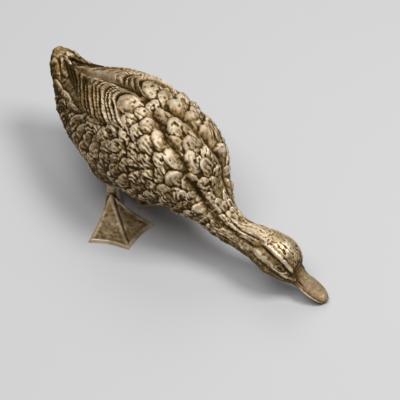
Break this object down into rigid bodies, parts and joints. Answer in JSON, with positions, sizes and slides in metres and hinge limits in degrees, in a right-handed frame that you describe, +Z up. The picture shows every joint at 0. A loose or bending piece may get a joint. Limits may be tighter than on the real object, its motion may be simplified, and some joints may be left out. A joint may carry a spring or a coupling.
{
  "type": "duck figurine",
  "caption": "Small cast bronze figurine of a feeding duck, bill lowered to the ground, tail raised, folded wings and webbed feet with flat soles; stands as an ornament",
  "frame": {"origin": "middle of the base: centre of the bounding box in plan, at the height of the soles", "axes": "+X from tail to bill, along the longest extent; +Y to the duck's left; +Z up"},
  "size_m": [0.1578, 0.063, 0.0587],
  "materials": {
    "chased_bronze": "chased bronze, pale gold on the high parts and brown in the recesses",
    "raw_bronze": "plain bronze, dull"
  },
  "bodies": {
    "root": {"body_casting": "chased_bronze", "neck_and_head_casting": "chased_bronze", "neck_cross_pin": "raw_bronze", "left_wing": "chased_bronze", "right_wing": "chased_bronze", "right_leg": "chased_bronze", "right_leg_nut": "raw_bronze", "left_leg": "chased_bronze", "left_leg_nut": "raw_bronze", "belly_plug": "raw_bronze", "core_pin_plug_back": "raw_bronze", "core_pin_plug_rump": "raw_bronze", "core_pin_plug_left_flank": "raw_bronze", "core_pin_plug_right_flank": "raw_bronze"}
  },
  "joints": []
}
